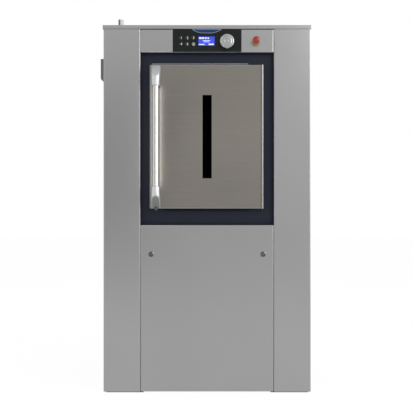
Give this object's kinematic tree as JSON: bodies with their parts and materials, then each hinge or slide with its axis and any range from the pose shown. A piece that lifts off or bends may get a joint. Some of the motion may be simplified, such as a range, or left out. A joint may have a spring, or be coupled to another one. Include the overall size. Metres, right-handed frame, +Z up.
{
  "type": "barrier washer",
  "caption": "Free-standing barrier washer with a loading door in front and an unloading door behind, a side-loaded horizontal drum, pull handles and a control strip.",
  "frame": {"origin": "on the floor, under the middle of the cabinet", "axes": "+Z up, +X to the right of a person who faces the loading door, +Y from the loading side to the unloading side"},
  "size_m": [1.0695, 1.1158, 1.934],
  "materials": {
    "cabinet_steel": "satin stainless sheet",
    "door_steel": "horizontally brushed stainless sheet",
    "navy_paint": "dark navy powder coat, satin",
    "handle_steel": "polished stainless tube",
    "bracket_metal": "bright plated casting",
    "dark_glass": "black glass",
    "fascia_plastic": "black printed overlay",
    "display_glass": "lit blue display",
    "key_plastic": "black key pads",
    "knob_metal": "turned silver",
    "red_plastic": "red",
    "yellow_plastic": "amber yellow",
    "lock_metal": "dark plated lock insert",
    "frame_paint": "grey primer",
    "tub_steel": "pickled stainless",
    "drum_steel": "polished stainless",
    "shaft_steel": "ground steel",
    "cast_grey": "cast iron, painted",
    "motor_alloy": "cast alloy",
    "pulley_alloy": "machined alloy",
    "belt_rubber": "ribbed belt",
    "bellows_rubber": "black rubber",
    "spring_steel": "black coated spring steel",
    "damper_steel": "black painted steel",
    "drain_plastic": "grey moulding",
    "pipe_steel": "steel pipe",
    "valve_plastic": "moulded valve",
    "board_green": "circuit board",
    "box_plastic": "dark grey moulding"
  },
  "bodies": {
    "cabinet": {"base_frame": "frame_paint", "side_panels": "cabinet_steel", "top_cover": "cabinet_steel", "front_right_column": "cabinet_steel", "front_left_column": "cabinet_steel", "rear_columns": "cabinet_steel", "front_service_panel": "cabinet_steel", "rear_service_panel": "cabinet_steel", "front_control_panel": "cabinet_steel", "rear_control_panel": "cabinet_steel", "front_door_frame": "navy_paint", "rear_door_frame": "navy_paint", "control_fascia": "fascia_plastic", "display_module": "display_glass", "control_board": "board_green", "estop_collars": "yellow_plastic", "hinge_stiles": "door_steel", "lock_bodies": "valve_plastic", "mouth_bellows": "bellows_rubber", "suspension_springs": "spring_steel", "damper_cylinders": "damper_steel", "water_inlet_pipe": "pipe_steel", "inlet_valve": "valve_plastic", "side_terminal_box": "box_plastic"},
    "front_door": {"front_door_skin": "door_steel", "front_door_liner": "tub_steel", "front_door_window": "dark_glass", "front_handle_tube": "handle_steel", "front_handle_brackets": "bracket_metal"},
    "rear_door": {"rear_door_skin": "door_steel", "rear_door_liner": "tub_steel", "rear_door_window": "dark_glass", "rear_handle": "handle_steel"},
    "front_bolt": {"front_lock_bolt": "shaft_steel"},
    "rear_bolt": {"rear_lock_bolt": "shaft_steel"},
    "knob": {"program_knob": "knob_metal"},
    "front_estop": {"front_estop_head": "red_plastic"},
    "rear_estop": {"rear_estop_head": "red_plastic"},
    "left_lock": {"left_panel_lock": "lock_metal"},
    "right_lock": {"right_panel_lock": "lock_metal"},
    "tub_group": {"tub_shell": "tub_steel", "tub_ends": "tub_steel", "bearing_units": "cast_grey", "suspension_cradle": "frame_paint", "motor": "motor_alloy", "drive_belt": "belt_rubber", "drain_valve": "drain_plastic", "damper_rods": "shaft_steel"},
    "drum": {"drum_shell": "drum_steel", "drum_lifters": "drum_steel", "drum_shafts": "shaft_steel", "drum_pulley": "pulley_alloy"},
    "shutter": {"drum_shutter": "drum_steel"},
    "rotor": {"motor_pulley": "shaft_steel"},
    "key_1": {"program_key_1": "key_plastic"},
    "key_2": {"program_key_2": "key_plastic"},
    "key_3": {"program_key_3": "key_plastic"},
    "key_4": {"program_key_4": "key_plastic"},
    "key_5": {"program_key_5": "key_plastic"},
    "key_6": {"program_key_6": "key_plastic"}
  },
  "joints": [
    {"name": "front_door_hinge", "type": "hinge", "parent": "cabinet", "child": "front_door", "pos_m": [0.2765, -0.484, 1.2865], "axis": [0, 0, 1], "range_deg": [0, 115]},
    {"name": "rear_door_hinge", "type": "hinge", "parent": "cabinet", "child": "rear_door", "pos_m": [-0.2765, 0.484, 1.2865], "axis": [0, 0, 1], "range_deg": [0, 115]},
    {"name": "front_lock_slide", "type": "slide", "parent": "cabinet", "child": "front_bolt", "axis": [0, 0, 1], "range_m": [0, 0.012]},
    {"name": "rear_lock_slide", "type": "slide", "parent": "cabinet", "child": "rear_bolt", "axis": [0, 0, 1], "range_m": [0, 0.012]},
    {"name": "knob_turn", "type": "hinge", "parent": "cabinet", "child": "knob", "pos_m": [0.1, -0.473, 1.76575], "axis": [0, -1, 0], "continuous": true},
    {"name": "front_estop_press", "type": "slide", "parent": "cabinet", "child": "front_estop", "axis": [0, 1, 0], "range_m": [0, 0.005], "stiffness_N_per_m": 1500},
    {"name": "rear_estop_press", "type": "slide", "parent": "cabinet", "child": "rear_estop", "axis": [0, -1, 0], "range_m": [0, 0.005], "stiffness_N_per_m": 1500},
    {"name": "left_lock_turn", "type": "hinge", "parent": "cabinet", "child": "left_lock", "pos_m": [-0.282, -0.47, 0.696], "axis": [0, 1, 0], "range_deg": [0, 90]},
    {"name": "right_lock_turn", "type": "hinge", "parent": "cabinet", "child": "right_lock", "pos_m": [0.282, -0.47, 0.696], "axis": [0, -1, 0], "range_deg": [0, 90]},
    {"name": "tub_bounce", "type": "slide", "parent": "cabinet", "child": "tub_group", "axis": [0, 0, 1], "range_m": [-0.01, 0.01], "stiffness_N_per_m": 120000, "springref_m": 0.02673, "deforming": ["suspension_springs", "mouth_bellows"]},
    {"name": "drum_spin", "type": "hinge", "parent": "tub_group", "child": "drum", "pos_m": [0, 0, 1.2865], "axis": [1, 0, 0], "continuous": true},
    {"name": "shutter_slide", "type": "hinge", "parent": "drum", "child": "shutter", "pos_m": [0, 0, 1.2865], "axis": [-1, 0, 0], "range_deg": [0, 72]},
    {"name": "motor_spin", "type": "hinge", "parent": "tub_group", "child": "rotor", "pos_m": [-0.36, 0, 0.6895], "axis": [1, 0, 0], "continuous": true},
    {"name": "key_1_press", "type": "slide", "parent": "cabinet", "child": "key_1", "axis": [0, 1, 0], "range_m": [0, 0.0008], "stiffness_N_per_m": 2000},
    {"name": "key_2_press", "type": "slide", "parent": "cabinet", "child": "key_2", "axis": [0, 1, 0], "range_m": [0, 0.0008], "stiffness_N_per_m": 2000},
    {"name": "key_3_press", "type": "slide", "parent": "cabinet", "child": "key_3", "axis": [0, 1, 0], "range_m": [0, 0.0008], "stiffness_N_per_m": 2000},
    {"name": "key_4_press", "type": "slide", "parent": "cabinet", "child": "key_4", "axis": [0, 1, 0], "range_m": [0, 0.0008], "stiffness_N_per_m": 2000},
    {"name": "key_5_press", "type": "slide", "parent": "cabinet", "child": "key_5", "axis": [0, 1, 0], "range_m": [0, 0.0008], "stiffness_N_per_m": 2000},
    {"name": "key_6_press", "type": "slide", "parent": "cabinet", "child": "key_6", "axis": [0, 1, 0], "range_m": [0, 0.0008], "stiffness_N_per_m": 2000}
  ],
  "couplings": [
    {"joint": "motor_spin", "follows": "drum_spin", "ratio": 4.2}
  ]
}
